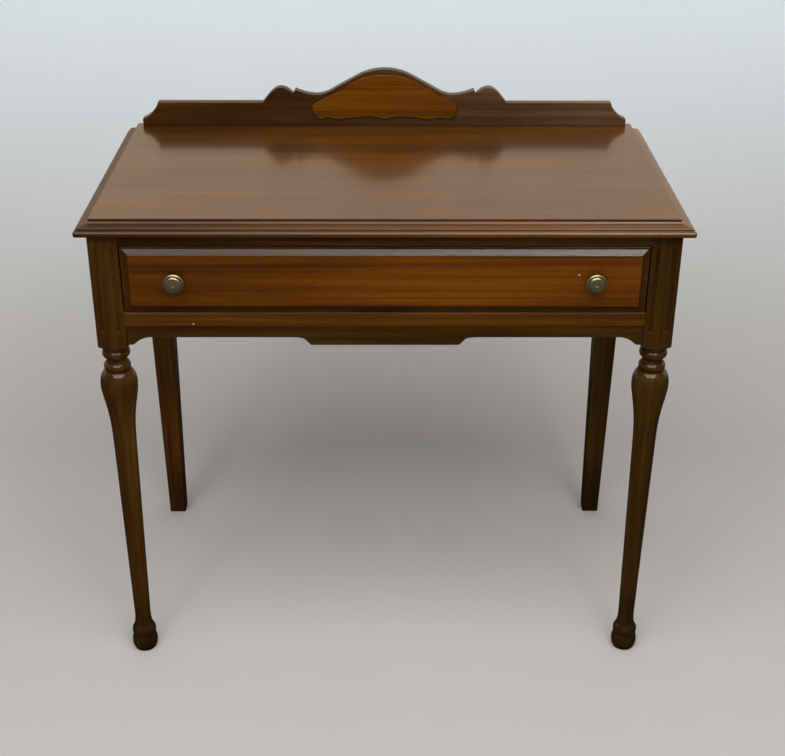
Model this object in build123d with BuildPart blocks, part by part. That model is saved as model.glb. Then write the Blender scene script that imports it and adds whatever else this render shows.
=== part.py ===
from build123d import *
import os

# A writing desk: a moulded top with a shaped gallery, on two turned front legs and two
# tapered rear legs, with one long drawer on wooden runners.
# Sizes are in millimetres. X runs to the right, Y to the back and Z up.
# The origin is on the floor, under the middle of the whole desk.

# Top
desk_height = 762.0
top_width = 872.0
top_depth = 468.5
top_thickness = 22.0
overhang = 14.0
side_overhang = 16.0

# Moulded edge of the top, measured outward and down from the edge of the flat
moulding_width = 19.7
nose_radius = 4.8
quirk_drop = 2.2
cove_end = (4.1, 7.1)
slope_end = (13.6, 8.8)
arris_drop = 10.2

# Rounding of the two front corners of the top, seen from above
corner_radius = 9.0
corner_inset = 8.0

# Legs
leg_square = 43.0
leg_arris = 1.2
rear_leg_foot = 29.0
rear_leg_inset = 2.0
rear_taper_start = 560.0

# Flutes on the front of each front leg
flute_spacing = 23.6
flute_width = 4.6
flute_depth = 1.9
flute_bottom = 587.5
flute_top = 721.0

# Turned part of the front leg: radius and height of each point of its outline
foot_rim = (17.0, 0.0)
foot_pad_widest = (20.4, 11.5)
foot_groove = (17.5, 27.6)
foot_ring_widest = (19.2, 35.6)
foot_ring_top = (16.2, 44.2)
ankle_flare = (13.6, 53.0)
ankle = (12.8, 76.0)
shaft_top = (17.5, 398.0)
vase_flare = (20.7, 447.0)
vase_swell = (24.2, 468.0)
vase_widest = (27.6, 491.5)
vase_shoulder = (25.8, 508.5)
vase_neck = (17.0, 519.2)
lower_ring_widest = (20.0, 525.6)
neck_bottom = (15.7, 532.4)
neck_narrowest = (14.9, 536.0)
neck_top = (15.7, 539.5)
upper_ring_widest = (20.7, 546.0)
collar_groove = (18.2, 552.4)
collar_widest = (19.6, 555.8)
collar_top = (18.0, 559.0)
shoulder_middle = (24.5, 561.2)
shoulder_edge = (31.0, 565.0)

# Rails and aprons
rail_recess = 0.5
rail_depth = 60.0
top_rail_thickness = 16.9
drawer_opening = 102.8
lower_rail_thickness = 22.0
lower_rail_round = 2.5
small_round = 1.0
apron_thickness = 18.0
apron_setback = 2.0
apron_depth = 18.8
drop_depth = 31.3
drop_half_width = 108.3
drop_slope = 10.0
drop_curve = (124.5, 2.2)
drop_start = 136.0
bracket_reach = 9.0
bracket_bend = (12.4, 2.8)
bracket_cove_middle = (20.0, 8.6)
bracket_length = 35.0
side_apron_thickness = 19.0
side_apron_setback = 3.0

# Joints of the frame
tenon_length = 20.0
rail_tenon = (26.0, 11.0)
apron_tenon_length = 12.0
apron_tenon = (8.0, 13.0)
side_tenon = (10.0, 110.0)
side_tenon_length = 22.0
dovetail_half_widths = (10.0, 13.0)
dovetail_thickness = 10.0
runner_tongue = (12.0, 10.0, 8.0)

# Drawer runners, guides and kickers, which line the inside of the case
guide_height = 20.0
runner_thickness = 20.0
runner_width = 36.5
guide_clearance = 0.9

# Blocks glued under the top and behind the apron
glue_block = 18.0
glue_block_length = 60.0
back_block_spacing = 220.0
apron_block_spacing = 170.0

# Drawer
side_gap = 1.5
top_gap = 1.2
bottom_gap = 1.0
runner_gap = 0.4
drawer_recess = 0.5
front_thickness = 18.0
border_flat = 3.3
bevel_width = 8.0
bevel_rise = 4.3
field_step = 1.5
drawer_side_thickness = 12.0
drawer_side_height = 98.5
drawer_length = 402.0
drawer_back_inset = 10.0
drawer_back_drop = 3.0
housing_depth = 5.0
panel_thickness = 6.0
panel_height = 10.0
groove_depth = 5.0
tail_length = 13.0
tail_count = 3
tail_pitch = 31.0
tail_half_heights = (8.5, 11.0)
stop_size = (36.0, 14.0, 6.0)
stop_spacing = 400.0
stop_gap = 0.4

# Knobs
knob_spacing = 600.0
knob_foot_radius = 8.0
knob_foot_height = 1.4
knob_stem_radius = 5.2
knob_stem_length = 4.4
knob_radius = 14.8
knob_disc_back = 8.6
knob_disc_front = 12.4
knob_rim_round = 1.8
knob_groove_radius = 11.7
knob_groove_drop = 0.8
knob_button_edge = 14.0
knob_button_shoulder = (9.6, 16.1)
knob_projection = 16.8
knob_screw_radius = 2.0
knob_screw_head = (4.0, 2.4)
knob_screw_reach = 10.5
hole_clearance = 0.1

# Wood screws
screw_radius = 2.0
screw_head_radius = 4.0
top_screw_length = 32.0
gallery_screw_length = 42.0
panel_screw_length = 22.0
rail_screw_x = 220.0
kicker_screw_y = 90.0
gallery_screw_spacing = 310.0
panel_screw_x = 200.0

# Gallery on the back of the top: heights are above the floor
gallery_thickness = 15.0
gallery_rebate = 2.0
gallery_half_length = 405.5
gallery_end_height = 774.0
gallery_cove_middle = (388.2, 785.4)
gallery_rail = (378.5, 802.0)
gallery_step = (203.5, 802.0)
scroll_side = (194.0, 814.0)
scroll_top = (175.0, 827.4)
scroll_back = (158.5, 822.2)
scroll_notch = (152.6, 816.0)
crest_point = (148.3, 823.7)
crest_dip = (128.5, 817.0)
crest_low = (103.0, 816.5)
crest_rise = (78.0, 828.7)
crest_shoulder = (48.0, 845.3)
crest_apex = (0.0, 858.0)

# Plaque applied to the gallery, of pale striped wood
plaque_thickness = 2.8
plaque_round = 0.8
plaque_top = (0.0, 849.6)
plaque_upper = ((50.0, 838.6), (72.0, 825.2), (93.0, 813.6), (112.0, 804.2))
plaque_end = (121.0, 792.0)
plaque_low = (106.0, 774.2)
plaque_scallop = (94.5, 776.8)
plaque_cusp = (81.0, 773.6)
plaque_wave = (36.0, 778.6)
plaque_middle = (0.0, 774.2)

# Planes and heights worked out from the sizes above
field_rise = bevel_rise + field_step
overall_depth = top_depth - overhang - drawer_recess + field_rise + knob_projection
back_y = overall_depth / 2
front_tip_y = back_y - top_depth
frame_front_y = front_tip_y + overhang
rail_front_y = frame_front_y + rail_recess
rail_back_y = rail_front_y + rail_depth
edge_y = frame_front_y + drawer_recess
field_y = edge_y - field_rise
underside = desk_height - top_thickness
opening_top = underside - top_rail_thickness
opening_bottom = opening_top - drawer_opening
lower_rail_bottom = opening_bottom - lower_rail_thickness
apron_bottom = lower_rail_bottom - apron_depth
leg_x = top_width / 2 - side_overhang - leg_square / 2
leg_inner_x = leg_x - leg_square / 2
front_leg_y = frame_front_y + leg_square / 2
front_leg_back_y = frame_front_y + leg_square
rear_leg_back_y = back_y - rear_leg_inset
rear_leg_y = rear_leg_back_y - leg_square / 2
rear_leg_front_y = rear_leg_back_y - leg_square
side_outer_x = leg_x + leg_square / 2 - side_apron_setback
side_inner_x = side_outer_x - side_apron_thickness
side_middle_x = side_outer_x - side_apron_thickness / 2
back_apron_back_y = rear_leg_back_y - side_apron_setback
back_apron_front_y = back_apron_back_y - side_apron_thickness
apron_front_y = rail_front_y + apron_setback
apron_middle_y = apron_front_y + apron_thickness / 2
side_tenon_z = (apron_bottom + underside) / 2
rail_tenon_z = opening_bottom - lower_rail_thickness / 2
apron_tenon_z = lower_rail_bottom - apron_depth / 2
drawer_half_width = leg_inner_x - side_gap
drawer_inner_x = drawer_half_width - drawer_side_thickness
drawer_bottom_z = opening_bottom + bottom_gap
drawer_top_z = opening_top - top_gap
drawer_front_height = drawer_top_z - drawer_bottom_z
drawer_middle_z = (drawer_top_z + drawer_bottom_z) / 2
front_back_y = edge_y + front_thickness
drawer_rear_y = edge_y + drawer_length
side_bottom_z = opening_bottom + runner_gap
panel_bottom_z = side_bottom_z + panel_height
panel_top_z = panel_bottom_z + panel_thickness
drawer_back_rear_y = drawer_rear_y - drawer_back_inset
drawer_back_front_y = drawer_back_rear_y - drawer_side_thickness
knob_x = knob_spacing / 2
gallery_front_y = back_y - gallery_thickness
gallery_middle_y = back_y - gallery_thickness / 2
kicker_middle_x = side_inner_x - runner_width / 2
guide_inner_x = leg_inner_x - side_gap + guide_clearance
guide_middle_x = (guide_inner_x + side_inner_x) / 2

# Places of the screws
rail_screw_places = [(x, rail_front_y + rail_depth / 2) for x in (-rail_screw_x, rail_screw_x)]
kicker_screw_places = [(x, kicker_screw_y) for x in (-kicker_middle_x, kicker_middle_x)]
top_screw_places = rail_screw_places + kicker_screw_places
gallery_screw_places = [
    (x, gallery_middle_y) for x in (-gallery_screw_spacing, 0.0, gallery_screw_spacing)
]
panel_screw_places = [
    (x, (drawer_back_front_y + drawer_back_rear_y) / 2)
    for x in (-panel_screw_x, panel_screw_x)
]

SIDES = ((-1, "left"), (1, "right"))

os.makedirs("parts", exist_ok=True)


def write(builder, name):
    """Label a finished piece and write it under its own name."""
    builder.part.label = name
    export_step(builder.part, f"parts/{name}.step")


def block(low, high, mode=Mode.ADD):
    """A box between two opposite corners."""
    middle = tuple((a + b) / 2 for a, b in zip(low, high))
    size = tuple(abs(b - a) for a, b in zip(low, high))
    with Locations(middle):
        Box(*size, mode=mode)


def moulded_edge(flat_edge, outward):
    """Outline of the moulded edge, from the flat down to the underside."""

    def at(out, down):
        return (flat_edge + outward * out, desk_height - down)

    nose_out = moulding_width - nose_radius
    nose_down = top_thickness - nose_radius
    run = slope_end[0] - cove_end[0]
    fall = slope_end[1] - cove_end[1]
    Line(at(0, 0), at(0, quirk_drop))
    TangentArc(at(0, quirk_drop), at(*cove_end), tangent=(0, -1))
    Line(at(*cove_end), at(*slope_end))
    TangentArc(at(*slope_end), at(nose_out, arris_drop), tangent=(outward * run, -fall))
    Line(at(nose_out, arris_drop), at(nose_out, nose_down - nose_radius))
    ThreePointArc(
        at(nose_out, nose_down - nose_radius),
        at(moulding_width, nose_down),
        at(nose_out, top_thickness),
    )
    return at(nose_out, top_thickness)


def screw(length):
    """A wood screw with a countersunk head, its head flush at the start of each place."""
    with BuildPart(mode=Mode.PRIVATE) as one:
        with BuildSketch(Plane.XZ):
            with BuildLine():
                Polyline(
                    (0, 0),
                    (screw_head_radius, 0),
                    (screw_radius, screw_radius - screw_head_radius),
                    (screw_radius, -length),
                    (0, -length),
                    close=True,
                )
            make_face()
        revolve(axis=Axis.Z)
    return one.part


def screw_hole(depth):
    """The countersunk hole that a wood screw sits in."""
    CounterSinkHole(
        radius=screw_radius + hole_clearance,
        counter_sink_radius=screw_head_radius,
        depth=depth,
        counter_sink_angle=90,
    )


def facing_down(places, z):
    """Planes at the given places whose holes run upward from height z."""
    return [Plane(origin=(x, y, z), x_dir=(1, 0, 0), z_dir=(0, 0, -1)) for x, y in places]


def tongue_outline(side, shoulder_x):
    """Plan outline of the dovetail tongue that ties the top rail to a front leg."""
    narrow, wide = dovetail_half_widths
    end_x = shoulder_x + side * tenon_length
    Polygon(
        (shoulder_x, front_leg_y - narrow),
        (end_x, front_leg_y - wide),
        (end_x, front_leg_y + wide),
        (shoulder_x, front_leg_y + narrow),
        align=None,
    )


def make_top():
    """The top, moulded along its front and both ends, with a rebate for the gallery."""
    with BuildPart() as top_board:
        with BuildSketch(Plane.XZ.offset(-back_y)):
            with BuildLine():
                flat_half = top_width / 2 - moulding_width
                Line((0, desk_height), (flat_half, desk_height))
                lowest = moulded_edge(flat_half, 1)
                Line(lowest, (0, underside))
                mirror(about=Plane.YZ)
            make_face()
        extrude(amount=top_depth)
        with BuildSketch(Plane.YZ):
            with BuildLine():
                flat_front = front_tip_y + moulding_width
                Line((back_y, desk_height), (flat_front, desk_height))
                lowest = moulded_edge(flat_front, -1)
                Polyline(lowest, (back_y, underside), (back_y, desk_height))
            make_face()
        extrude(amount=top_width, both=True, mode=Mode.INTERSECT)
        for side, _ in SIDES:
            corner_x = side * top_width / 2
            with BuildSketch(Plane.XY.offset(underside)):
                with Locations((corner_x, front_tip_y)):
                    Rectangle(2 * corner_inset, 2 * corner_inset)
                with Locations((corner_x - side * corner_inset, front_tip_y + corner_inset)):
                    Circle(corner_radius, mode=Mode.SUBTRACT)
            extrude(amount=top_thickness, mode=Mode.SUBTRACT)
        block(
            (-gallery_half_length, gallery_front_y, desk_height - gallery_rebate),
            (gallery_half_length, back_y, desk_height),
            Mode.SUBTRACT,
        )
        with Locations(*facing_down(top_screw_places, underside)):
            Hole(screw_radius + hole_clearance, depth=top_screw_length - top_rail_thickness)
        with Locations(*facing_down(gallery_screw_places, underside)):
            screw_hole(top_thickness)
    write(top_board, "top_board")


def make_gallery():
    """The gallery: low straight wings, a scroll each side and a tall crest."""
    with BuildPart() as gallery_board:
        with BuildSketch(Plane.XZ.offset(-back_y)):
            foot = desk_height - gallery_rebate
            end_top = (gallery_half_length, gallery_end_height)
            with BuildLine():
                Polyline((0, foot), (gallery_half_length, foot), end_top)
                ThreePointArc(end_top, gallery_cove_middle, gallery_rail)
                Line(gallery_rail, gallery_step)
                Spline(gallery_step, scroll_side, scroll_top, scroll_back, scroll_notch)
                Line(scroll_notch, crest_point)
                Spline(
                    crest_point,
                    crest_dip,
                    crest_low,
                    crest_rise,
                    crest_shoulder,
                    tangents=[(-1, -0.42), (-0.869, 0.494)],
                )
                TangentArc(crest_apex, crest_shoulder, tangent=(1, 0))
                mirror(about=Plane.YZ)
            make_face()
        extrude(amount=gallery_thickness)
        hole_depth = gallery_screw_length - top_thickness
        with Locations(*facing_down(gallery_screw_places, desk_height - gallery_rebate)):
            Hole(screw_radius + hole_clearance, depth=hole_depth + gallery_rebate)
    write(gallery_board, "gallery_board")


def make_plaque():
    """The plaque on the gallery, with a scalloped lower edge."""
    with BuildPart() as gallery_plaque:
        with BuildSketch(Plane.XZ.offset(-gallery_front_y)):
            with BuildLine():
                Spline(
                    plaque_top,
                    *plaque_upper,
                    plaque_end,
                    tangents=[(1, 0), (0, -1)],
                )
                TangentArc(plaque_end, plaque_low, tangent=(0, -1))
                ThreePointArc(plaque_low, plaque_scallop, plaque_cusp)
                Spline(
                    plaque_cusp,
                    plaque_wave,
                    plaque_middle,
                    tangents=[(-1, 0.05), (-1, -0.35)],
                )
                mirror(about=Plane.YZ)
            make_face()
        extrude(amount=plaque_thickness)
        front = gallery_plaque.faces().sort_by(Axis.Y)[0]
        chamfer(front.edges(), plaque_round)
    write(gallery_plaque, "gallery_plaque")


def make_front_leg(side, name):
    """A front leg: a fluted square block above rings, a vase and a tapering shaft."""
    centre_x = side * leg_x
    upright = Plane(origin=(centre_x, front_leg_y, 0), x_dir=(1, 0, 0), z_dir=(0, -1, 0))
    axis = Axis((centre_x, front_leg_y, 0), (0, 0, 1))
    with BuildPart() as leg:
        # The square block, its lower corners rolled away by the turning
        with BuildSketch(upright):
            with BuildLine():
                Line((0, collar_top[1]), collar_top)
                ThreePointArc(collar_top, shoulder_middle, shoulder_edge)
                Polyline(
                    shoulder_edge,
                    (shoulder_edge[0], underside),
                    (0, underside),
                    (0, collar_top[1]),
                )
            make_face()
        revolve(axis=axis)
        with BuildSketch(Plane.XY.offset(collar_top[1])):
            with Locations((centre_x, front_leg_y)):
                RectangleRounded(leg_square, leg_square, leg_arris)
        extrude(amount=underside - collar_top[1], mode=Mode.INTERSECT)

        # The turning below the block
        with BuildSketch(upright):
            with BuildLine():
                taper = (shaft_top[0] - ankle[0], shaft_top[1] - ankle[1])
                Line((0, 0), foot_rim)
                ThreePointArc(foot_rim, foot_pad_widest, foot_groove)
                ThreePointArc(foot_groove, foot_ring_widest, foot_ring_top)
                Spline(foot_ring_top, ankle_flare, ankle, tangents=[(-0.8, 1), taper])
                Line(ankle, shaft_top)
                Spline(
                    shaft_top,
                    vase_flare,
                    vase_swell,
                    vase_widest,
                    vase_shoulder,
                    vase_neck,
                    tangents=[taper, (-1, 0.3)],
                )
                ThreePointArc(vase_neck, lower_ring_widest, neck_bottom)
                ThreePointArc(neck_bottom, neck_narrowest, neck_top)
                ThreePointArc(neck_top, upper_ring_widest, collar_groove)
                ThreePointArc(collar_groove, collar_widest, collar_top)
                Polyline(collar_top, (0, collar_top[1]), (0, 0))
            make_face()
        revolve(axis=axis)

        # Two stopped flutes on the front face
        flute_radius = (flute_width**2 / 4 + flute_depth**2) / (2 * flute_depth)
        flute_y = frame_front_y - (flute_radius - flute_depth)
        low = flute_bottom + flute_width / 2
        high = flute_top - flute_width / 2
        for offset_x in (-flute_spacing / 2, flute_spacing / 2):
            flute_x = centre_x + offset_x
            with Locations((flute_x, flute_y, (low + high) / 2)):
                Cylinder(flute_radius, high - low, mode=Mode.SUBTRACT)
            with Locations((flute_x, flute_y, low), (flute_x, flute_y, high)):
                Sphere(flute_radius, mode=Mode.SUBTRACT)

        # Mortises for the lower rail, the apron and the side, and a socket for the top rail
        inner_x = side * leg_inner_x
        with Locations((inner_x + side * tenon_length / 2, front_leg_y, rail_tenon_z)):
            Box(tenon_length, *rail_tenon, mode=Mode.SUBTRACT)
        with Locations((inner_x + side * apron_tenon_length / 2, apron_middle_y, apron_tenon_z)):
            Box(apron_tenon_length, *apron_tenon, mode=Mode.SUBTRACT)
        side_tenon_y = front_leg_back_y - side_tenon_length / 2
        with Locations((side * side_middle_x, side_tenon_y, side_tenon_z)):
            Box(side_tenon[0], side_tenon_length, side_tenon[1], mode=Mode.SUBTRACT)
        with BuildSketch(Plane.XY.offset(underside - dovetail_thickness)):
            tongue_outline(side, inner_x)
        extrude(amount=dovetail_thickness, mode=Mode.SUBTRACT)
    write(leg, name)


def make_rear_leg(side, name):
    """A rear leg: square, straight at the back and tapered on its other three sides."""
    centre_x = side * leg_x
    foot_y = rear_leg_back_y - rear_leg_foot / 2
    with BuildPart() as leg:
        with BuildSketch(Plane.XY):
            with Locations((centre_x, foot_y)):
                RectangleRounded(rear_leg_foot, rear_leg_foot, leg_arris)
        with BuildSketch(Plane.XY.offset(rear_taper_start)):
            with Locations((centre_x, rear_leg_y)):
                RectangleRounded(leg_square, leg_square, leg_arris)
        loft(ruled=True)
        with BuildSketch(Plane.XY.offset(rear_taper_start)):
            with Locations((centre_x, rear_leg_y)):
                RectangleRounded(leg_square, leg_square, leg_arris)
        extrude(amount=underside - rear_taper_start)

        # Mortises for the side apron and the back apron
        side_tenon_y = rear_leg_front_y + side_tenon_length / 2
        with Locations((side * side_middle_x, side_tenon_y, side_tenon_z)):
            Box(side_tenon[0], side_tenon_length, side_tenon[1], mode=Mode.SUBTRACT)
        back_tenon_x = side * (leg_inner_x + tenon_length / 2)
        back_tenon_y = (back_apron_back_y + back_apron_front_y) / 2
        with Locations((back_tenon_x, back_tenon_y, side_tenon_z)):
            Box(tenon_length, side_tenon[0], side_tenon[1], mode=Mode.SUBTRACT)
    write(leg, name)


def make_top_rail():
    """The rail above the drawer, laid flat and dovetailed into the tops of the legs."""
    with BuildPart() as front_top_rail:
        block(
            (-leg_inner_x, rail_front_y, opening_top),
            (leg_inner_x, rail_back_y, underside),
        )
        front_edges = front_top_rail.edges().filter_by(Axis.X).group_by(Axis.Y)[0]
        fillet(front_edges.sort_by(Axis.Z)[0], small_round)
        for side, _ in SIDES:
            with BuildSketch(Plane.XY.offset(underside - dovetail_thickness)):
                tongue_outline(side, side * leg_inner_x)
            extrude(amount=dovetail_thickness)
        with Locations(*facing_down(rail_screw_places, opening_top)):
            screw_hole(top_rail_thickness)
    write(front_top_rail, "front_top_rail")


def make_lower_rail():
    """The rail under the drawer, with a rounded upper edge and a tenon at each end."""
    with BuildPart() as front_lower_rail:
        block(
            (-leg_inner_x, rail_front_y, lower_rail_bottom),
            (leg_inner_x, rail_back_y, opening_bottom),
        )
        front_edges = front_lower_rail.edges().filter_by(Axis.X).group_by(Axis.Y)[0]
        fillet(front_edges.sort_by(Axis.Z)[-1], lower_rail_round)
        lower_edges = front_lower_rail.edges().filter_by(Axis.X).group_by(Axis.Y)[0]
        fillet(lower_edges.sort_by(Axis.Z)[0], small_round)
        tenon_x = leg_inner_x + tenon_length / 2
        with Locations((-tenon_x, front_leg_y, rail_tenon_z), (tenon_x, front_leg_y, rail_tenon_z)):
            Box(tenon_length, *rail_tenon)
        for side, _ in SIDES:
            runner_tongue_block(side, Mode.SUBTRACT)
    write(front_lower_rail, "front_lower_rail")


def runner_tongue_block(side, mode):
    """The short tongue on the front end of a runner, or its slot in the lower rail."""
    width, length, thickness = runner_tongue
    middle_x = side * (leg_inner_x - side_gap - width / 2)
    with Locations((middle_x, rail_back_y - length / 2, rail_tenon_z)):
        Box(width, length, thickness, mode=mode)


def make_front_apron():
    """The shaped apron: a dropped middle and a small bracket against each leg."""
    with BuildPart() as front_apron:
        with BuildSketch(Plane.XZ.offset(-(apron_front_y + apron_thickness))):
            drop_bottom = lower_rail_bottom - drop_depth
            slope_end = (drop_half_width + drop_slope, apron_bottom - drop_curve[1])
            curve_start = (drop_start, apron_bottom)
            bracket_top = (leg_inner_x - bracket_length, apron_bottom)
            bracket_turn = (leg_inner_x - bracket_bend[0], drop_bottom + bracket_bend[1])
            bracket_foot = (leg_inner_x - bracket_reach, drop_bottom + 0.4)
            bracket_cove = (
                leg_inner_x - bracket_cove_middle[0],
                drop_bottom + bracket_cove_middle[1],
            )
            with BuildLine():
                Polyline((0, lower_rail_bottom), (0, drop_bottom), (drop_half_width, drop_bottom))
                Line((drop_half_width, drop_bottom), slope_end)
                ThreePointArc(
                    slope_end,
                    (drop_curve[0], apron_bottom - 0.8),
                    curve_start,
                )
                Line(curve_start, bracket_top)
                ThreePointArc(bracket_top, bracket_cove, bracket_turn)
                Line(bracket_turn, bracket_foot)
                Polyline(
                    bracket_foot,
                    (leg_inner_x, drop_bottom),
                    (leg_inner_x, lower_rail_bottom),
                    (0, lower_rail_bottom),
                )
            make_face()
            mirror(about=Plane.YZ)
        extrude(amount=apron_thickness)
        tenon_x = leg_inner_x + apron_tenon_length / 2
        with Locations(
            (-tenon_x, apron_middle_y, apron_tenon_z),
            (tenon_x, apron_middle_y, apron_tenon_z),
        ):
            Box(apron_tenon_length, *apron_tenon)
    write(front_apron, "front_apron")


def make_side_apron(side, name):
    """A side of the case, tenoned into the front and rear legs."""
    with BuildPart() as apron:
        block(
            (side * side_outer_x, front_leg_back_y, apron_bottom),
            (side * side_inner_x, rear_leg_front_y, underside),
        )
        middle_x = side * side_middle_x
        front_y = front_leg_back_y - side_tenon_length / 2
        rear_y = rear_leg_front_y + side_tenon_length / 2
        with Locations((middle_x, front_y, side_tenon_z), (middle_x, rear_y, side_tenon_z)):
            Box(side_tenon[0], side_tenon_length, side_tenon[1])
    write(apron, name)


def make_back_apron():
    """The back of the case, tenoned between the rear legs."""
    with BuildPart() as back_apron:
        block(
            (-leg_inner_x, back_apron_front_y, apron_bottom),
            (leg_inner_x, back_apron_back_y, underside),
        )
        tenon_x = leg_inner_x + tenon_length / 2
        tenon_y = (back_apron_front_y + back_apron_back_y) / 2
        with Locations((-tenon_x, tenon_y, side_tenon_z), (tenon_x, tenon_y, side_tenon_z)):
            Box(tenon_length, side_tenon[0], side_tenon[1])
    write(back_apron, "back_apron")


def make_runner(side, name):
    """A runner, which carries one side of the drawer."""
    with BuildPart() as runner:
        block(
            (side * side_inner_x, rail_back_y, opening_bottom - runner_thickness),
            (side * (side_inner_x - runner_width), rear_leg_front_y, opening_bottom),
        )
        runner_tongue_block(side, Mode.ADD)
    write(runner, name)


def make_guide(side, name):
    """A guide, which keeps the drawer square between the sides of the case."""
    with BuildPart() as guide:
        block(
            (side * side_inner_x, rail_back_y, opening_bottom),
            (side * guide_inner_x, rear_leg_front_y, opening_bottom + guide_height),
        )
    write(guide, name)


def make_kicker(side, name):
    """A kicker under the top, which stops the open drawer from tipping."""
    with BuildPart() as kicker:
        block(
            (side * side_inner_x, rail_back_y, opening_top),
            (side * (side_inner_x - runner_width), rear_leg_front_y, underside),
        )
        places = [place for place in kicker_screw_places if place[0] * side > 0]
        with Locations(*facing_down(places, opening_top)):
            screw_hole(top_rail_thickness)
    write(kicker, name)


def make_glue_blocks():
    """Blocks in the angle of the back and the top, and behind the front apron."""
    half = glue_block_length / 2
    with BuildPart() as back_glue_blocks:
        for x in (-back_block_spacing, 0, back_block_spacing):
            block(
                (x - half, back_apron_front_y - glue_block, underside - glue_block),
                (x + half, back_apron_front_y, underside),
            )
    write(back_glue_blocks, "back_glue_blocks")

    apron_back_y = apron_front_y + apron_thickness
    with BuildPart() as apron_glue_blocks:
        for step in (-1.5, -0.5, 0.5, 1.5):
            x = step * apron_block_spacing
            block(
                (x - half, apron_back_y, lower_rail_bottom - glue_block),
                (x + half, apron_back_y + glue_block, lower_rail_bottom),
            )
    write(apron_glue_blocks, "apron_glue_blocks")


def make_drawer_stops():
    """Two small blocks on the lower rail, which the closed drawer front rests against."""
    length, depth, height = stop_size
    with BuildPart() as drawer_stops:
        for x in (-stop_spacing / 2, stop_spacing / 2):
            block(
                (x - length / 2, front_back_y + stop_gap, opening_bottom),
                (x + length / 2, front_back_y + stop_gap + depth, opening_bottom + height),
            )
    write(drawer_stops, "drawer_stops")


def tail_heights():
    """Middle height of each dovetail, spread evenly about the middle of the drawer side."""
    middle_z = side_bottom_z + drawer_side_height / 2
    first = middle_z - tail_pitch * (tail_count - 1) / 2
    return [first + tail_pitch * number for number in range(tail_count)]


def tails(side, mode):
    """The dovetails on the front end of a drawer side, or their sockets in the front."""
    narrow, wide = tail_half_heights
    tip_y = front_back_y - tail_length
    with BuildSketch(Plane.YZ.offset(side * drawer_half_width)) as outlines:
        for z in tail_heights():
            Polygon(
                (front_back_y, z - narrow),
                (tip_y, z - wide),
                (tip_y, z + wide),
                (front_back_y, z + narrow),
                align=None,
            )
    extrude(outlines.sketch, amount=-side * drawer_side_thickness, mode=mode)


def knob_places():
    """Middles of the two knobs on the drawer front."""
    return [(side * knob_x, drawer_middle_z) for side, _ in SIDES]


def make_drawer_front():
    """The drawer front: a raised field inside a bevelled border, dovetailed to the sides."""
    face_plane = Plane(
        origin=(0, edge_y, drawer_middle_z), x_dir=(1, 0, 0), z_dir=(0, -1, 0)
    )
    width = 2 * drawer_half_width
    bevel_angle = Vector(bevel_rise, bevel_width).get_angle(Vector(1, 0))
    field_inset = 2 * (border_flat + bevel_width)
    with BuildPart() as drawer_front:
        with BuildSketch(face_plane):
            Rectangle(width, drawer_front_height)
        extrude(amount=-front_thickness)
        with BuildSketch(face_plane):
            Rectangle(width - 2 * border_flat, drawer_front_height - 2 * border_flat)
        extrude(amount=bevel_rise, taper=bevel_angle)
        with BuildSketch(face_plane.offset(bevel_rise)):
            Rectangle(width - field_inset, drawer_front_height - field_inset)
        extrude(amount=field_step)
        for side, _ in SIDES:
            tails(side, Mode.SUBTRACT)
        block(
            (-drawer_inner_x, front_back_y - groove_depth, panel_bottom_z),
            (drawer_inner_x, front_back_y, panel_top_z),
            Mode.SUBTRACT,
        )
        with BuildSketch(face_plane.offset(field_rise)):
            with Locations(*[(x, 0) for x, _ in knob_places()]):
                Circle(knob_screw_radius + hole_clearance)
        extrude(amount=-(front_thickness + field_rise), mode=Mode.SUBTRACT)
    write(drawer_front, "drawer_front")


def make_drawer_side(side, name):
    """A drawer side, with dovetails in front, a groove for the bottom and a housing."""
    outer_x = side * drawer_half_width
    inner_x = side * drawer_inner_x
    with BuildPart() as drawer_side:
        block(
            (outer_x, front_back_y, side_bottom_z),
            (inner_x, drawer_rear_y, side_bottom_z + drawer_side_height),
        )
        tails(side, Mode.ADD)
        block(
            (inner_x, front_back_y - tail_length, panel_bottom_z),
            (inner_x + side * groove_depth, drawer_rear_y, panel_top_z),
            Mode.SUBTRACT,
        )
        block(
            (inner_x, drawer_back_front_y, panel_top_z),
            (
                inner_x + side * housing_depth,
                drawer_back_rear_y,
                side_bottom_z + drawer_side_height,
            ),
            Mode.SUBTRACT,
        )
    write(drawer_side, name)


def make_drawer_back():
    """The drawer back, which stands on the bottom and sits in the sides' housings."""
    half_length = drawer_inner_x + housing_depth
    top_z = side_bottom_z + drawer_side_height - drawer_back_drop
    with BuildPart() as drawer_back:
        block(
            (-half_length, drawer_back_front_y, panel_top_z),
            (half_length, drawer_back_rear_y, top_z),
        )
        with Locations(*facing_down(panel_screw_places, panel_top_z)):
            Hole(screw_radius + hole_clearance, depth=panel_screw_length - panel_thickness)
    write(drawer_back, "drawer_back")


def make_drawer_bottom():
    """The drawer bottom, a thin panel slid into the grooves from behind."""
    half_width = drawer_inner_x + groove_depth
    with BuildPart() as drawer_bottom:
        block(
            (-half_width, front_back_y - groove_depth, panel_bottom_z),
            (half_width, drawer_back_rear_y, panel_top_z),
        )
        with Locations(*facing_down(panel_screw_places, panel_bottom_z)):
            screw_hole(panel_thickness)
    write(drawer_bottom, "drawer_bottom")


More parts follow.
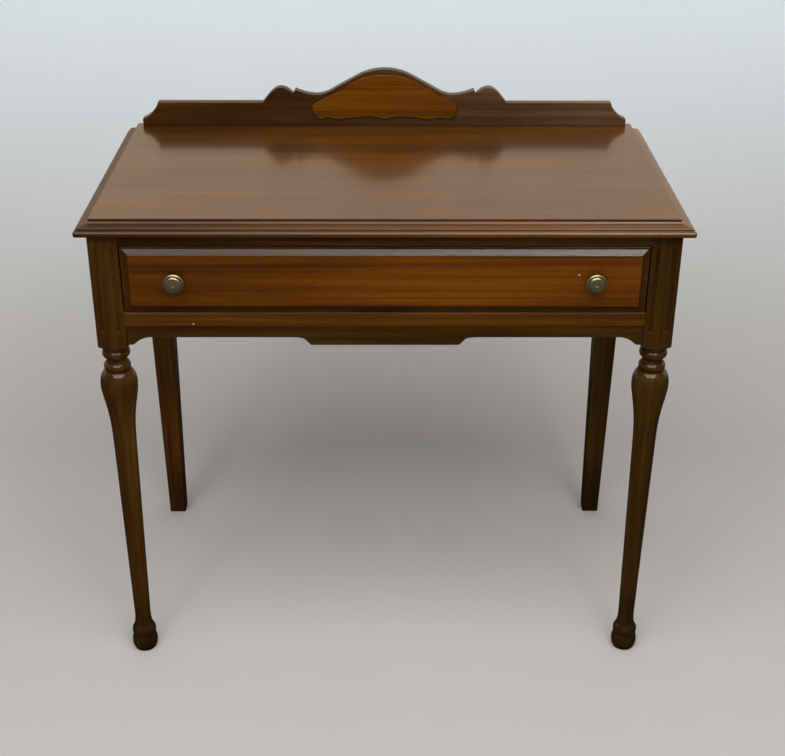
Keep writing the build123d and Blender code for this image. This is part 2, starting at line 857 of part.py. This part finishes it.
def make_knobs():
    """Two turned brass knobs: a foot, a waisted stem, a disc and a domed button on its face."""
    with BuildPart() as knobs:
        for x, z in knob_places():
            upright = Plane(origin=(x, field_y, z), x_dir=(1, 0, 0), z_dir=(0, 0, 1))
            with BuildSketch(upright):
                with BuildLine():
                    foot_end = (knob_foot_radius, -knob_foot_height)
                    stem_end = (knob_stem_radius, -knob_stem_length)
                    disc_back = (knob_radius, -knob_disc_back)
                    rim = (knob_radius, knob_rim_round - knob_disc_front)
                    ring = (knob_radius - knob_rim_round, -knob_disc_front)
                    ring_inner = (knob_groove_radius + knob_groove_drop, -knob_disc_front)
                    groove = (knob_groove_radius, knob_groove_drop - knob_disc_front)
                    button_edge = (knob_groove_radius, -knob_button_edge)
                    shoulder = (knob_button_shoulder[0], -knob_button_shoulder[1])
                    Polyline((0, 0), (knob_foot_radius, 0), foot_end)
                    Spline(foot_end, stem_end, disc_back, tangents=[(-1, -0.5), (1, -0.1)])
                    Line(disc_back, rim)
                    TangentArc(rim, ring, tangent=(0, -1))
                    Polyline(ring, ring_inner, groove, button_edge)
                    TangentArc(button_edge, shoulder, tangent=(0, -1))
                    TangentArc((0, -knob_projection), shoulder, tangent=(1, 0))
                    Line((0, -knob_projection), (0, 0))
                make_face()
            revolve(axis=Axis((x, field_y, z), (0, 1, 0)))
            with BuildSketch(Plane((x, field_y, z), x_dir=(1, 0, 0), z_dir=(0, -1, 0))):
                Circle(knob_screw_radius + hole_clearance)
            extrude(amount=knob_screw_reach, mode=Mode.SUBTRACT)
    write(knobs, "knobs")


def make_knob_screws():
    """The screws that hold the knobs, with their heads inside the drawer."""
    head_radius, head_height = knob_screw_head
    inside = Plane(
        origin=(0, front_back_y, drawer_middle_z), x_dir=(1, 0, 0), z_dir=(0, -1, 0)
    )
    reach = front_thickness + field_rise + knob_screw_reach - small_round
    with BuildPart() as knob_screws:
        with BuildSketch(inside):
            with Locations(*[(x, 0) for x, _ in knob_places()]):
                Circle(knob_screw_radius)
        extrude(amount=reach)
        with BuildSketch(inside):
            with Locations(*[(x, 0) for x, _ in knob_places()]):
                Circle(head_radius)
        extrude(amount=-head_height)
    write(knob_screws, "knob_screws")


def make_screws():
    """Each set of wood screws, as separate solids of one piece."""
    sets = (
        ("top_screws", facing_down(top_screw_places, opening_top), top_screw_length),
        ("gallery_screws", facing_down(gallery_screw_places, underside), gallery_screw_length),
        (
            "drawer_bottom_screws",
            facing_down(panel_screw_places, panel_bottom_z),
            panel_screw_length,
        ),
    )
    for name, planes, length in sets:
        one_screw = screw(length)
        with BuildPart() as group:
            with Locations(*planes):
                add(one_screw)
        write(group, name)


make_top()
make_gallery()
make_plaque()
make_top_rail()
make_lower_rail()
make_front_apron()
make_back_apron()
make_glue_blocks()
make_drawer_stops()
make_drawer_front()
make_drawer_back()
make_drawer_bottom()
make_knobs()
make_knob_screws()
make_screws()
for side, label in SIDES:
    make_front_leg(side, f"front_{label}_leg")
    make_rear_leg(side, f"rear_{label}_leg")
    make_side_apron(side, f"{label}_side_apron")
    make_runner(side, f"{label}_drawer_runner")
    make_guide(side, f"{label}_drawer_guide")
    make_kicker(side, f"{label}_kicker")
    make_drawer_side(side, f"drawer_{label}_side")
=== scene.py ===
import math

import bpy
from mathutils import Matrix, Vector


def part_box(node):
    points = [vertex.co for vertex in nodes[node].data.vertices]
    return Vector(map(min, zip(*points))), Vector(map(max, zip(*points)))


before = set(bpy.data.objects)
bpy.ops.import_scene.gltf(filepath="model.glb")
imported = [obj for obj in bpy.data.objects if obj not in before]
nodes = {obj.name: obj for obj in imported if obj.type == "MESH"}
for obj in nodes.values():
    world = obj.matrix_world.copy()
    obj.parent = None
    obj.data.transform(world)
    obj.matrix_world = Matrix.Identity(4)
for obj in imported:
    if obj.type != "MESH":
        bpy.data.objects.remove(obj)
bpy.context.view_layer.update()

# Camera of the photograph, in metres and degrees
PHOTO_WIDTH = 785
FOCAL_PIXELS = 1349.7
SENSOR_WIDTH = 36.0
CAMERA_PLACE = (-0.0053, -1.9864, 1.4438)
CAMERA_PITCH = 27.72
CAMERA_YAW = 0.526
CAMERA_ROLL = 0.2352

# Floor and backdrop, and the distance from the desk over which they fade out
FLOOR_HALF_WIDTH = 9.0
FLOOR_FRONT = -9.0
BACKDROP_Y = 1.35
BACKDROP_HEIGHT = 4.2
BACKDROP_BEND = 0.9
BEND_STEPS = 24
FADE_START = 2.6
FADE_END = 5.0

# Strength of the surroundings as light and as seen by the camera, and the share that mirrors
WORLD_FILL = 0.28
WORLD_SEEN = 0.68
WORLD_MIRRORED = 0.3
WORLD_COLOUR = (1.0, 0.97, 0.93, 1.0)

# Each light's name, place, target, side, power and colour
WARM_WHITE = (1.0, 0.95, 0.88)
LIGHTS = (
    ("ceiling", (0.0, -2.0, 3.0), (0.0, -2.0, 0.0), 3.2, 93.0, (1.0, 0.97, 0.93)),
    ("left_lamp", (-1.2, -2.4, 2.8), (0.0, 0.0, 0.5), 0.4, 5.0, WARM_WHITE),
    ("right_lamp", (0.9, -2.4, 2.8), (0.0, 0.0, 0.5), 0.4, 5.0, WARM_WHITE),
)

# Colours of the paper floor and wall, the painted glow that brightens the wall up its height for
# the camera, and how they mirror in the lacquer
FLOOR_COLOUR = (0.61, 0.60, 0.59)
WALL_COLOUR = (0.93, 0.97, 1.0)
WALL_PAINTED_GLOW = 0.22
WALL_GLOW_TINT = (0.45, 0.75, 1.0, 1.0)
FLOOR_MIRRORED = (0.015, 0.012, 0.008)
WALL_MIRRORED = (0.64, 0.52, 0.40)

# Sizes of the drawer front's border and of the top's moulded edge
BORDER_WIDTH = 0.0113
BORDER_SOFTNESS = 0.0003
MOULDING_WIDTH = 0.0197

# Pale paint flecks on the lower rail and on the drawer front
RAIL_FLECK = (-0.2779, -0.2157, 0.6018)
DRAWER_FLECK = (0.2761, -0.2218, 0.6819)
FLECK_COLOUR = (0.75, 0.70, 0.60)
FLECK_SIZE = 0.0011

# Dark, middle and light colour of each wood
CASE_STAIN = ((0.022, 0.0078, 0.0006), (0.042, 0.0172, 0.0012), (0.072, 0.031, 0.0026))
TOP_STAIN = ((0.074, 0.023, 0.0010), (0.128, 0.042, 0.0018), (0.180, 0.066, 0.0034))
STRIPED_STAIN = ((0.082, 0.022, 0.0003), (0.126, 0.036, 0.0004), (0.176, 0.057, 0.0008))
INNER_STAIN = ((0.20, 0.105, 0.040), (0.30, 0.175, 0.075), (0.40, 0.250, 0.120))

# Texture scales of each layer of grain, along it and across it
TONE_SCALE = (1.6, 11.0)
STREAK_SCALE = (3.5, 150.0)
PORE_SCALE = (55.0, 1500.0)
TONE_SHARE = 0.55
STREAK_SHARE = 0.45

# Rounding of the arrises of wooden pieces, and how far dirt and painted shade reach out of a
# corner
ARRIS_RADIUS = 0.0009
DIRT_AND_SHADE_REACH = 0.012

# Grain, stain, painted sheen that pales and blues it toward the right end, and lacquer of each
# piece of the case
EVEN = (1.0, 1.0, 1.0)
CASE_PIECES = {
    "gallery_board": ("x", (1.3, 1.3, 2.5), (2.1, 2.8, 9.5), 0.3),
    "front_top_rail": ("x", (1.15, 1.1, 1.0), EVEN, 0.3),
    "front_lower_rail": ("x", (2.2, 1.85, 1.0), EVEN, 0.3),
    "front_apron": ("x", (1.15, 1.25, 1.0), EVEN, 0.3),
    "back_apron": ("x", (1.3, 1.3, 1.0), EVEN, 0.3),
    "left_side_apron": ("y", (1.3, 1.3, 1.0), EVEN, 0.3),
    "right_side_apron": ("y", (1.3, 1.3, 1.0), EVEN, 0.3),
    "front_left_leg": ("z", (1.95, 2.0, 2.4), EVEN, 0.9),
    "front_right_leg": ("z", (1.8, 1.9, 2.2), EVEN, 0.9),
    "rear_left_leg": ("z", (2.0, 1.8, 1.8), EVEN, 0.3),
    "rear_right_leg": ("z", (1.2, 1.25, 1.1), EVEN, 0.3),
}

# Inner pieces whose grain runs from front to back
LENGTHWISE_PIECES = (
    "drawer_left_side",
    "drawer_right_side",
    "left_drawer_runner",
    "right_drawer_runner",
    "left_drawer_guide",
    "right_drawer_guide",
    "left_kicker",
    "right_kicker",
)


class Shader:
    """Builds the nodes of one material, with short calls for the nodes it uses most."""

    def __init__(self, name):
        self.material = bpy.data.materials.new(name)
        self.material.use_nodes = True
        self.tree = self.material.node_tree
        self.tree.nodes.clear()
        self.output = self.tree.nodes.new("ShaderNodeOutputMaterial")
        self.place = self.node("ShaderNodeTexCoord").outputs["Object"]

    def node(self, kind, values=None, **settings):
        """A node whose inputs are given as numbers or as the outputs of other nodes."""
        made = self.tree.nodes.new(kind)
        for key, value in settings.items():
            setattr(made, key, value)
        for key, value in (values or {}).items():
            socket = made.inputs[key]
            if isinstance(value, bpy.types.NodeSocket):
                self.tree.links.new(value, socket)
            else:
                socket.default_value = value
        return made

    def axes(self):
        """The coordinates of the shaded point, named X, Y and Z."""
        return self.node("ShaderNodeSeparateXYZ", {0: self.place}).outputs

    def math(self, operation, a, b=0.0, clamp=False):
        made = self.node("ShaderNodeMath", {0: a, 1: b}, operation=operation, use_clamp=clamp)
        return made.outputs[0]

    def times(self, a, b):
        """A colour times another colour or a number."""
        return self.node("ShaderNodeVectorMath", {0: a, 1: b}, operation="MULTIPLY").outputs[0]

    def slide(self, value, low, high, start=0.0, end=1.0):
        """Goes from start to end while the value goes from low to high."""
        values = {0: value, 1: low, 2: high, 3: start, 4: end}
        return self.node("ShaderNodeMapRange", values).outputs[0]

    def noise(self, scale, offset=(0.0, 0.0, 0.0), detail=3.0, roughness=0.5, distortion=0.0):
        """Noise with a scale for each axis, or one scale for all three."""
        if isinstance(scale, float):
            scale = (scale, scale, scale)
        stretch = {"Vector": self.place, "Scale": scale, "Location": offset}
        values = {
            "Vector": self.node("ShaderNodeMapping", stretch).outputs[0],
            "Scale": 1.0,
            "Detail": detail,
            "Roughness": roughness,
            "Distortion": distortion,
        }
        return self.node("ShaderNodeTexNoise", values).outputs["Fac"]

    def ramp(self, value, *stops):
        """Colours or greys at given positions of a value, with straight slopes between them."""
        made = self.node("ShaderNodeValToRGB", {"Fac": value})
        elements = made.color_ramp.elements
        while len(elements) < len(stops):
            elements.new(0.5)
        for element, (position, colour) in zip(elements, stops):
            element.position = position
            if isinstance(colour, (int, float)):
                colour = (colour, colour, colour)
            element.color = (*colour, 1.0)
        return made.outputs["Color"]

    def mix(self, factor, a, b):
        """The first colour at factor 0 and the second at factor 1."""
        made = self.node("ShaderNodeMix", data_type="RGBA")
        for socket, value in ((made.inputs[0], factor), (made.inputs[6], a), (made.inputs[7], b)):
            if isinstance(value, bpy.types.NodeSocket):
                self.tree.links.new(value, socket)
            else:
                socket.default_value = (*value, 1.0)
        return made.outputs[2]

    def rounded_normal(self, radius):
        return self.node("ShaderNodeBevel", {"Radius": radius}, samples=4).outputs[0]

    def edge_mask(self, normal):
        """Above 0 on outer and inner arrises, 0 on plain faces."""
        true_normal = self.node("ShaderNodeNewGeometry").outputs["Normal"]
        values = {0: normal, 1: true_normal}
        dot = self.node("ShaderNodeVectorMath", values, operation="DOT_PRODUCT")
        return self.math("SUBTRACT", 1.0, dot.outputs["Value"], clamp=True)

    def crevice(self, distance):
        """Near 0 deep in corners and 1 in the open."""
        made = self.node("ShaderNodeAmbientOcclusion", {"Distance": distance}, samples=6)
        return made.outputs["AO"]

    def bump(self, height, strength, distance, normal):
        values = {"Height": height, "Strength": strength, "Distance": distance, "Normal": normal}
        return self.node("ShaderNodeBump", values).outputs[0]

    def finish(self, values):
        """The finished material, with one main shader."""
        shader = self.node("ShaderNodeBsdfPrincipled", values)
        self.tree.links.new(shader.outputs[0], self.output.inputs["Surface"])
        return self.material


def along_grain(grain, scale):
    """Texture scale for each axis that runs long in the direction of the grain."""
    along, across = scale
    return tuple(along if axis == grain else across for axis in "xyz")


def wood(name, grain, stain, seed=0.0, pore_depth=0.4, sheen=0.32, wear=0.35):
    """Stained wood with grain along one axis: its shader, colour, roughness and bump."""
    dark, middle, light = stain
    shader = Shader(name)
    shift = (seed * 3.1, seed * 1.7, seed * 2.3)
    tone = shader.noise(along_grain(grain, TONE_SCALE), shift, detail=4.0)
    streak = shader.noise(along_grain(grain, STREAK_SCALE), shift, detail=6.0, roughness=0.62)
    pore = shader.noise(along_grain(grain, PORE_SCALE), shift, detail=2.0)
    broad = shader.math("MULTIPLY", tone, TONE_SHARE)
    mixed = shader.math("ADD", broad, shader.math("MULTIPLY", streak, STREAK_SHARE))
    colour = shader.ramp(mixed, (0.38, dark), (0.5, middle), (0.62, light))
    pores = shader.math("MULTIPLY", shader.ramp(pore, (0.33, 1.0), (0.43, 0.0)), pore_depth)
    colour = shader.mix(pores, colour, tuple(c * 0.25 for c in dark))

    rounded = shader.rounded_normal(ARRIS_RADIUS)
    worn = shader.noise(38.0, (seed, 4.0, 9.0), detail=5.0, roughness=0.7)
    worn = shader.ramp(worn, (0.52, 0.0), (0.66, 1.0))
    worn = shader.math("MULTIPLY", shader.edge_mask(rounded), worn)
    worn = shader.math("MULTIPLY", worn, wear * 4.0, clamp=True)
    colour = shader.mix(worn, colour, tuple(min(1.0, c * 2.2 + 0.02) for c in light))
    # Darker in corners and recesses: partly dirt, partly painted shade
    dirt_and_shade = shader.ramp(shader.crevice(DIRT_AND_SHADE_REACH), (0.25, 0.35), (0.85, 1.0))
    colour = shader.times(colour, dirt_and_shade)

    smear = shader.noise(5.0, (seed, 1.0, 2.0), detail=2.0)
    roughness = shader.ramp(smear, (0.2, sheen - 0.03), (0.8, sheen + 0.05))
    bump = shader.bump(pore, 0.12, 0.0002, rounded)
    bump = shader.bump(streak, 0.05, 0.0006, bump)
    return shader, colour, roughness, bump


def lacquered(
    shader, colour, roughness, bump, gloss=0.14, coat=0.3, coat_roughness=0.12, coat_ior=1.5
):
    """Clear satin lacquer over the colour of the stain."""
    return shader.finish(
        {
            "Base Color": colour,
            "Roughness": roughness,
            "Normal": bump,
            "Specular IOR Level": gloss,
            "Coat Weight": coat,
            "Coat Roughness": coat_roughness,
            "Coat IOR": coat_ior,
            "Coat Normal": bump,
        }
    )


def flecked(shader, colour, place):
    """Adds one pale paint fleck with a ragged rim to a colour."""
    apart = shader.node("ShaderNodeVectorMath", {0: shader.place, 1: place}, operation="DISTANCE")
    ragged = shader.math("MULTIPLY", shader.noise(700.0, detail=2.0), FLECK_SIZE * 0.6)
    reach = shader.math("ADD", apart.outputs["Value"], ragged)
    spot = shader.math("LESS_THAN", reach, FLECK_SIZE * 1.3)
    return shader.mix(spot, colour, FLECK_COLOUR)


def case_wood(piece, seed):
    """Dark brown mahogany of the case, paled toward its right end by a painted sheen, and dark
    near the floor.
    """
    grain, tone, painted_sheen, coat = CASE_PIECES[piece]
    stain = tuple(tuple(c * t for c, t in zip(shade, tone)) for shade in CASE_STAIN)
    shader, colour, roughness, bump = wood(piece + "_wood", grain, stain, seed)
    axes = shader.axes()
    # Painted sheen: the colour pales and turns bluer toward the right end, where a piece has one
    colour = shader.times(colour, shader.mix(shader.slide(axes["X"], -0.2, 0.4), EVEN, painted_sheen))
    if grain == "z":
        stops = ((0.03, 0.5), (0.07, 0.58), (0.13, 1.0), (0.45, 1.0), (0.56, 0.8))
        colour = shader.times(colour, shader.ramp(axes["Z"], *stops))
    if piece == "front_lower_rail":
        colour = flecked(shader, colour, RAIL_FLECK)
    open_faces = shader.ramp(shader.crevice(DIRT_AND_SHADE_REACH), (0.5, 0.0), (0.9, coat))
    return lacquered(shader, colour, roughness, bump, coat=open_faces, coat_roughness=0.09)


def top_wood():
    """Red brown mahogany of the top, with a satin sheen and a darker moulded edge that painted
    shade darkens further toward its left end.
    """
    shader, colour, roughness, bump = wood(
        "top_wood", "x", TOP_STAIN, seed=1.0, pore_depth=0.3, sheen=0.34, wear=1.0
    )
    blotch = shader.noise((3.5, 6.0, 6.0), (4.0, 1.0, 0.0), detail=5.0, roughness=0.55)
    blotch = shader.ramp(blotch, (0.36, (0.80, 0.76, 0.70)), (0.62, (1.0, 1.0, 0.9)))
    colour = shader.times(colour, blotch)

    low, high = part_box("top_board")
    axes = shader.axes()
    side = shader.math("SUBTRACT", high[0] - MOULDING_WIDTH, shader.math("ABSOLUTE", axes["X"]))
    front = shader.math("SUBTRACT", axes["Y"], low[1] + MOULDING_WIDTH)
    nearest = shader.math("MINIMUM", side, front)
    flat = shader.math("DIVIDE", nearest, BORDER_SOFTNESS, clamp=True)
    edge = shader.math("SUBTRACT", 1.0, flat)
    # The moulded edge is stained darker, and painted shade darkens it further toward the left end
    edge_stain_and_shade = shader.times(colour, shader.slide(axes["X"], -0.40, 0.10, 0.5, 0.9))
    colour = shader.mix(edge, colour, edge_stain_and_shade)
    polish = shader.slide(axes["X"], -0.40, 0.30, 0.25, 1.0)
    coat = shader.math("ADD", flat, shader.math("MULTIPLY", edge, polish))
    return lacquered(shader, colour, roughness, bump, gloss=0.3, coat=coat, coat_roughness=0.14)


def striped_wood(name, seed):
    """Orange brown ribbon-striped mahogany: its shader, colour, roughness and bump."""
    shader, colour, roughness, bump = wood(name, "x", STRIPED_STAIN, seed, pore_depth=0.35)
    shift = (seed, seed * 2.0, seed * 5.0)
    bend = shader.math("MULTIPLY", shader.noise((3.0, 3.0, 6.0), shift, detail=2.0), 0.12)
    ribbon = shader.noise((0.9, 1.0, 130.0), shift, detail=4.0, distortion=0.2)
    ribbon = shader.math("ADD", ribbon, bend)
    stripe = shader.ramp(ribbon, (0.40, (0.60, 0.52, 0.4)), (0.55, EVEN))
    return shader, shader.times(colour, stripe), roughness, bump


def drawer_front_wood():
    """Striped field inside a dark border."""
    shader, colour, roughness, bump = striped_wood("drawer_front_wood", 3.0)
    low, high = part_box("drawer_front")
    axes = shader.axes()
    inside = []
    for axis, index in (("X", 0), ("Z", 2)):
        middle = (low[index] + high[index]) / 2
        half = (high[index] - low[index]) / 2 - BORDER_WIDTH
        distance = shader.math("ABSOLUTE", shader.math("SUBTRACT", axes[axis], middle))
        margin = shader.math("SUBTRACT", half, distance)
        inside.append(shader.math("DIVIDE", margin, BORDER_SOFTNESS, clamp=True))
    field = shader.math("MULTIPLY", *inside)
    edge = shader.math("SUBTRACT", 1.0, field)

    border = shader.noise((9.0, 30.0, 30.0), detail=4.0)
    border = shader.ramp(border, (0.3, (0.030, 0.010, 0.0004)), (0.7, (0.068, 0.026, 0.0010)))
    colour = flecked(shader, shader.mix(field, border, colour), DRAWER_FLECK)
    polish = shader.slide(axes["X"], -0.2, 0.35, 0.4, 1.0)
    edge_coat = shader.math("MULTIPLY", edge, polish)
    coat = shader.math("ADD", edge_coat, shader.math("MULTIPLY", field, 0.06))
    return lacquered(shader, colour, roughness, bump, gloss=0.12, coat=coat, coat_ior=2.0)


def plaque_wood():
    """Striped wood of the plaque, paler than the drawer front."""
    shader, colour, roughness, bump = striped_wood("plaque_wood", 11.0)
    paler = shader.times(colour, (1.35, 1.45, 0.8))
    return lacquered(shader, paler, roughness, bump, coat=0.4)


def inner_wood(grain):
    """Plain wood of the drawer box and the hidden frame, with grain along one axis."""
    name = "inner_wood_" + grain
    parts = wood(name, grain, INNER_STAIN, seed=7.0, pore_depth=0.25, sheen=0.5, wear=0.1)
    return lacquered(*parts, coat=0.05, coat_roughness=0.4)


def brass():
    """Aged brass, darker in its grooves from patina and painted shade."""
    shader = Shader("knob_brass")
    patina = shader.noise(90.0, detail=5.0, roughness=0.65)
    colour = shader.ramp(patina, (0.3, (0.55, 0.47, 0.25)), (0.7, (0.80, 0.70, 0.42)))
    # Patina and painted shade: the colour darkens deep in the grooves
    colour = shader.times(colour, shader.ramp(shader.crevice(0.006), (0.3, 0.25), (0.9, 1.0)))
    roughness = shader.ramp(patina, (0.3, 0.40), (0.7, 0.29))
    scratches = shader.noise((900.0, 900.0, 140.0))
    bump = shader.bump(scratches, 0.08, 0.0001, shader.rounded_normal(0.0007))
    return shader.finish(
        {"Base Color": colour, "Metallic": 0.93, "Roughness": roughness, "Normal": bump}
    )


def steel():
    """Dull steel of the wood screws."""
    shader = Shader("screw_steel")
    spots = shader.noise(400.0, detail=5.0, roughness=0.7)
    colour = shader.ramp(spots, (0.35, (0.16, 0.13, 0.10)), (0.6, (0.36, 0.35, 0.33)))
    roughness = shader.ramp(spots, (0.3, 0.6), (0.7, 0.35))
    bump = shader.bump(spots, 0.2, 0.0001, shader.rounded_normal(0.0003))
    return shader.finish(
        {"Base Color": colour, "Metallic": 1.0, "Roughness": roughness, "Normal": bump}
    )


def dress_nodes():
    """Gives every CAD node its material."""
    looks = {
        "top_board": top_wood(),
        "gallery_plaque": plaque_wood(),
        "drawer_front": drawer_front_wood(),
        "knobs": brass(),
    }
    for seed, piece in enumerate(CASE_PIECES):
        looks[piece] = case_wood(piece, float(seed))
    across, lengthwise, metal = inner_wood("x"), inner_wood("y"), steel()
    for piece in LENGTHWISE_PIECES:
        looks[piece] = lengthwise
    for name, piece in nodes.items():
        material = looks.get(name) or (metal if name.endswith("screws") else across)
        piece.data.materials.clear()
        piece.data.materials.append(material)


def stage_paper():
    """Matt paper, paler up the wall with a painted glow seen only by the camera, that mirrors as
    a dimmer room and fades out far away.
    """
    shader = Shader("stage_paper")
    height = shader.axes()["Z"]
    mottle = shader.noise(2.0, detail=6.0, roughness=0.6)
    tint = shader.ramp(height, (0.0, FLOOR_COLOUR), (0.7, WALL_COLOUR))
    tint = shader.times(tint, shader.ramp(mottle, (0.3, 0.97), (0.7, 1.0)))
    rays = shader.node("ShaderNodeLightPath").outputs
    # Painted glow: the wall brightens and turns bluer up its height, for the camera only
    painted_glow = shader.ramp(height, (0.1, 0.0), (0.9, WALL_PAINTED_GLOW))
    values = {
        "Base Color": tint,
        "Roughness": 0.9,
        "Specular IOR Level": 0.2,
        "Emission Color": WALL_GLOW_TINT,
        "Emission Strength": shader.math("MULTIPLY", painted_glow, rays["Is Camera Ray"]),
    }
    near = shader.node("ShaderNodeBsdfPrincipled", values).outputs[0]
    values = {"Color": WORLD_COLOUR, "Strength": WORLD_SEEN}
    far = shader.node("ShaderNodeEmission", values).outputs[0]
    apart = shader.node("ShaderNodeVectorMath", {0: shader.place}, operation="LENGTH")
    fade = shader.slide(apart.outputs["Value"], FADE_START, FADE_END)
    fade = shader.math("MULTIPLY", fade, rays["Is Camera Ray"])
    paper = shader.node("ShaderNodeMixShader", {0: fade, 1: near, 2: far}).outputs[0]

    mirrored = shader.ramp(height, (0.02, FLOOR_MIRRORED), (0.75, WALL_MIRRORED))
    room = shader.node("ShaderNodeEmission", {"Color": mirrored, "Strength": 1.0}).outputs[0]
    seen = shader.node("ShaderNodeMixShader", {0: rays["Is Glossy Ray"], 1: paper, 2: room})

    # Clear from behind, so the wall doesn't hide the desk in a view of its back
    behind = shader.node("ShaderNodeNewGeometry").outputs["Backfacing"]
    clear = shader.node("ShaderNodeBsdfTransparent").outputs[0]
    either = shader.node("ShaderNodeMixShader", {0: behind, 1: seen.outputs[0], 2: clear})
    shader.tree.links.new(either.outputs[0], shader.output.inputs["Surface"])
    return shader.material


def make_stage():
    """Pale floor that curves up into a backdrop behind the desk."""
    profile = [(FLOOR_FRONT, 0.0)]
    for step in range(BEND_STEPS + 1):
        angle = math.pi / 2 * step / BEND_STEPS
        y = BACKDROP_Y - BACKDROP_BEND + BACKDROP_BEND * math.sin(angle)
        z = BACKDROP_BEND * (1 - math.cos(angle))
        profile.append((y, z))
    profile.append((BACKDROP_Y, BACKDROP_HEIGHT))
    vertices = [(x, y, z) for y, z in profile for x in (-FLOOR_HALF_WIDTH, FLOOR_HALF_WIDTH)]
    faces = [(2 * i, 2 * i + 1, 2 * i + 3, 2 * i + 2) for i in range(len(profile) - 1)]
    mesh = bpy.data.meshes.new("stage_floor")
    mesh.from_pydata(vertices, [], faces)
    mesh.polygons.foreach_set("use_smooth", [True] * len(mesh.polygons))
    mesh.materials.append(stage_paper())
    floor = bpy.data.objects.new("stage_floor", mesh)
    bpy.context.scene.collection.objects.link(floor)


def make_light(name, place, target, side, power, colour):
    """A soft square light that faces its target."""
    data = bpy.data.lights.new(name, "AREA")
    data.shape = "RECTANGLE"
    data.size = side
    data.size_y = side
    data.energy = power
    data.color = colour
    light = bpy.data.objects.new(name, data)
    light.location = place
    ahead = Vector(target) - Vector(place)
    light.rotation_euler = ahead.to_track_quat("-Z", "Y").to_euler()
    bpy.context.scene.collection.objects.link(light)


def make_world():
    """Even surroundings, brighter for the camera and dimmer where they mirror."""
    world = bpy.data.worlds.new("studio")
    bpy.context.scene.world = world
    world.use_nodes = True
    tree = world.node_tree
    rays = tree.nodes.new("ShaderNodeLightPath")
    product = tree.nodes.new("ShaderNodeMath")
    product.operation = "MULTIPLY"
    strengths = (
        ("Is Camera Ray", WORLD_FILL, WORLD_SEEN),
        ("Is Glossy Ray", 1.0, WORLD_MIRRORED),
    )
    for index, (ray, otherwise, strength) in enumerate(strengths):
        chosen = tree.nodes.new("ShaderNodeMapRange")
        chosen.inputs["To Min"].default_value = otherwise
        chosen.inputs["To Max"].default_value = strength
        tree.links.new(rays.outputs[ray], chosen.inputs["Value"])
        tree.links.new(chosen.outputs["Result"], product.inputs[index])
    background = tree.nodes["Background"]
    tree.links.new(product.outputs[0], background.inputs["Strength"])
    background.inputs["Color"].default_value = WORLD_COLOUR


def make_camera():
    """The photograph's camera."""
    pitch, yaw, roll = (math.radians(a) for a in (CAMERA_PITCH, CAMERA_YAW, CAMERA_ROLL))
    level = math.cos(pitch)
    ahead = Vector((math.sin(yaw) * level, math.cos(yaw) * level, -math.sin(pitch)))
    turn = ahead.to_track_quat("-Z", "Y").to_matrix().to_4x4() @ Matrix.Rotation(roll, 4, "Z")
    data = bpy.data.cameras.new("photo_camera")
    data.sensor_width = SENSOR_WIDTH
    data.lens = FOCAL_PIXELS / PHOTO_WIDTH * SENSOR_WIDTH
    camera = bpy.data.objects.new("photo_camera", data)
    camera.matrix_world = Matrix.Translation(CAMERA_PLACE) @ turn
    bpy.context.scene.collection.objects.link(camera)
    bpy.context.scene.camera = camera


dress_nodes()
make_stage()
for light in LIGHTS:
    make_light(*light)
make_world()
make_camera()
bpy.context.scene.view_settings.view_transform = "Standard"
